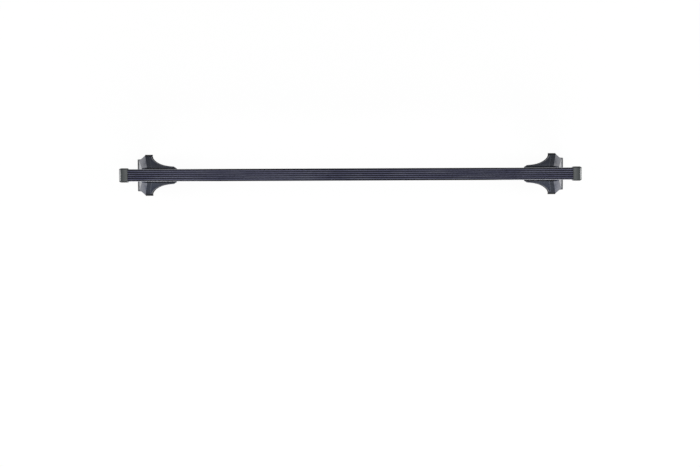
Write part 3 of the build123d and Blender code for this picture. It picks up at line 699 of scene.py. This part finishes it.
def cheekOut(u, w):
    # distance of the shell's outside from its middle plane
    plan = foot["nosePlan"]
    into = np.clip(u - foot["noseStart"], 0, plan)
    nose = foot["noseCore"] + np.sqrt(np.clip(plan**2 - (plan - into)**2, 0, None))
    return np.minimum(flankHalf(w) - flank["skin"], nose)


def cheekNormal(u, w, e=0.05):
    # unit normal of y = cheekOut(u, w), from its slopes over a small step e
    du = (cheekOut(u + e, w) - cheekOut(u - e, w)) / (2 * e)
    dw = (cheekOut(u, w + e) - cheekOut(u, w - e)) / (2 * e)
    normal = np.stack([-du, np.ones_like(u), -dw], -1)
    return normal / np.linalg.norm(normal, axis=1, keepdims=True)


def onCheeks(kind, rings, crisp):
    # rings in (u, y, w), set on the front and rear cheeks of both feet
    for side, sign in sides.items():
        for name, flip in (("front", -1), ("rear", 1)):
            placed = np.stack([sign * (foot["reach"] + rings[..., 0]), flip * rings[..., 1],
                               foot["underside"] + rings[..., 2]], -1) * mm
            piece = ringPiece(side + kind + name, placed, crisp)
            enter(piece, side + "_foot", "shell_plastic")


u, w = rimLine()
spine = np.stack([u, cheekOut(u, w), w], -1)
normal = cheekNormal(u, w)
across = np.cross(np.gradient(spine, axis=0), normal)
across /= np.linalg.norm(across, axis=1, keepdims=True)
turn = np.linspace(0, 2 * np.pi, bead["around"], endpoint=False)
wide = bead["width"] / 2 * np.cos(turn)
out = np.where(np.sin(turn) > 0, bead["rise"] * np.sin(turn), bead["root"] * np.sin(turn))
rings = spine[:, None] + across[:, None] * wide[None, :, None] + normal[:, None] * out[None, :, None]
onCheeks("_rim_bead_", rings, bead["crisp"])
print("rim beads:", rings.shape)

# Nose webs: thin walls that close the lower corners of each nose, behind the bead.
# y(u, w) is the cheek's outside; w runs from the top line down to the rim at the web's setback.
web = {"from": 3.9, "to": 11.0, "top": -4.0, "setback": 3.7, "proud": 0.02, "wall": 0.6, "along": 24,
       "down": 16, "crisp": 60}
u = np.linspace(web["from"], web["to"], web["along"])
radius, middle = foot["noseRadius"] - web["setback"], foot["noseRadius"] - foot["noseHeight"]
cornerLine = middle - np.sqrt(np.clip(radius**2 - np.clip(foot["noseRadius"] - u, 0, radius)**2, 0, None))
arcLine = foot["arcW"] + np.sqrt((foot["arcRadius"] + web["setback"])**2 - (u - foot["arcU"])**2)
lowest = np.maximum(cornerLine, arcLine)
w = web["top"] + (lowest - web["top"])[:, None] * np.linspace(0, 1, web["down"])
u = u[:, None] + 0 * w
y = cheekOut(u, w)
outside = np.stack([u, y + web["proud"], w], -1)
inside = np.stack([u, y - web["wall"], w], -1)
rings = np.concatenate([outside, inside[:, ::-1]], 1)
onCheeks("_nose_web_", rings, web["crisp"])
print("nose webs:", rings.shape)

# Moulded and pressed pieces: the solids' own shapes with rounded edges, each edge's round in millimetres.
# Faces that turn by less than flat degrees are merged, edges that turn by more than hardFrom are rounded,
# and a cap keeps a crisp line at softer ones too.
edged = {"merge": 2e-6, "flat": 0.4, "hardFrom": 28, "segments": 2, "weight": 60, "crisp": {"end_cap": 20},
         "smooth": 180,
         "rounds": {"end_cap": 0.55, "foot_shell": 0.35, "inner_cover": 0.45, "base_plate": 0.35,
                    "roof_pad": 0.4, "clamp_bracket": 0.35, "clamp_nut": 0.4, "saddle_bolt": 0.3,
                    "clamp_washer": 0.2, "saddle_washer": 0.2, "slot_nut": 0.3}}


def edgedCopy(node, edge, crisp):
    # a solid's own mesh with its triangles merged, its hard edges rounded and its normals weighed by area
    mesh = frame["nodes"][node].data.copy()
    mesh.name = node + "_edged"
    bm = bmesh.new()
    bm.from_mesh(mesh)
    bmesh.ops.remove_doubles(bm, verts=bm.verts, dist=edged["merge"])
    bmesh.ops.dissolve_limit(bm, angle_limit=math.radians(edged["flat"]), verts=bm.verts, edges=bm.edges)
    bm.to_mesh(mesh)
    bm.free()
    if "custom_normal" in mesh.attributes:
        mesh.attributes.remove(mesh.attributes["custom_normal"])
    smoothTo(mesh, crisp)
    piece = bpy.data.objects.new(mesh.name, mesh)
    bevel = piece.modifiers.new("edge", "BEVEL")
    bevel.width = edge * mm
    bevel.segments = edged["segments"]
    bevel.limit_method = "ANGLE"
    bevel.angle_limit = math.radians(edged["hardFrom"])
    bevel.use_clamp_overlap = False
    bevel.harden_normals = False
    weigh = piece.modifiers.new("normals", "WEIGHTED_NORMAL")
    weigh.mode = "FACE_AREA_WITH_ANGLE"
    weigh.weight = edged["weight"]
    weigh.keep_sharp = True
    dress(piece, node)


for side in sides:
    for part, edge in edged["rounds"].items():
        edgedCopy(side + "_" + part, edge, edged["crisp"].get(part, edged["smooth"]))
print("rounded pieces made:", len(sides) * len(edged["rounds"]))

# Floor, world, lamps and camera
studio = {"floorSize": 14.0, "floorWhite": 0.9, "floorGlow": 0.93, "world": 0.42}
lamps = {"key box": {"place": (0.4, -2.6, 1.4), "aim": (0, 0, 0.1), "size": (3.2, 1.4), "power": 88},
         "fill box": {"place": (-0.6, 2.8, 1.8), "aim": (0, 0, 0.1), "size": (3.0, 1.4), "power": 10},
         "left box": {"place": (-3.0, 0, 1.6), "aim": (-0.5, 0, 0.1), "size": (1.2, 1.2), "power": 46},
         "right box": {"place": (3.0, 0, 1.6), "aim": (0.5, 0, 0.1), "size": (1.2, 1.2), "power": 46}}
white = (1, 1, 1, 1)


def whiteOnSight(f, share, plain, bright):
    # bright for camera, glossy and transmission rays, plain for the light that falls on the object
    camera, glossy, through = (f.node("ShaderNodeLightPath", out=k) for k in (0, 3, 6))
    seen = f.maths("MAXIMUM", f.maths("MAXIMUM", camera, glossy), through)
    return f.node("ShaderNodeMixShader", {}, {0: seen * share, 1: plain, 2: bright})


floorFinish = Finish("studio floor")
pale = floorFinish.node("ShaderNodeBsdfDiffuse", {}, {"Color": (studio["floorWhite"],) * 3 + (1,)})
glow = floorFinish.node("ShaderNodeEmission", {}, {"Color": white, "Strength": 1.0})
shown = whiteOnSight(floorFinish, studio["floorGlow"], pale, glow)
floorFinish.node("ShaderNodeOutputMaterial", {}, {"Surface": shown})
half = studio["floorSize"] / 2
corners = [(-half, -half, 0), (half, -half, 0), (half, half, 0), (-half, half, 0)]
mesh = bpy.data.meshes.new("floor")
mesh.from_pydata(corners, [], [(0, 1, 2, 3)])
mesh.materials.append(floorFinish.material)
floor = bpy.data.objects.new("floor", mesh)
bpy.context.scene.collection.objects.link(floor)

world = bpy.data.worlds.new("studio")
bpy.context.scene.world = world
sky = Finish("studio sky", world)
dim = sky.node("ShaderNodeBackground", {}, {"Color": white, "Strength": studio["world"]})
bright = sky.node("ShaderNodeBackground", {}, {"Color": white, "Strength": 1.0})
sky.node("ShaderNodeOutputWorld", {}, {"Surface": whiteOnSight(sky, 1.0, dim, bright)})

for name, c in lamps.items():
    lamp = bpy.data.lights.new(name, "AREA")
    lamp.shape = "RECTANGLE"
    lamp.size, lamp.size_y = c["size"]
    lamp.energy = c["power"]
    softbox = bpy.data.objects.new(name, lamp)
    bpy.context.scene.collection.objects.link(softbox)
    softbox.location = c["place"]
    aim = Vector(c["aim"]) - Vector(c["place"])
    softbox.rotation_euler = aim.to_track_quat("-Z", "Y").to_euler()

# Camera: straight over the bar, with its focal length in pixels of a picture 700 wide
view = {"above": 3.0, "aside": -0.001, "tilt": 2.922, "roll": 0.24, "focal": 1156.0, "pixels": 700,
        "sensor": 36}
camera = bpy.data.objects.new("camera", bpy.data.cameras.new("camera"))
bpy.context.scene.collection.objects.link(camera)
camera.data.sensor_width = view["sensor"]
camera.data.lens = view["focal"] * view["sensor"] / view["pixels"]
camera.location = (view["aside"], 0, cadBox[1][2] + view["above"])
camera.rotation_mode = "XYZ"
camera.rotation_euler = (-math.radians(view["tilt"]), 0, -math.radians(view["roll"]))
bpy.context.scene.camera = camera
bpy.context.scene.view_settings.view_transform = "Standard"
print("studio ready")
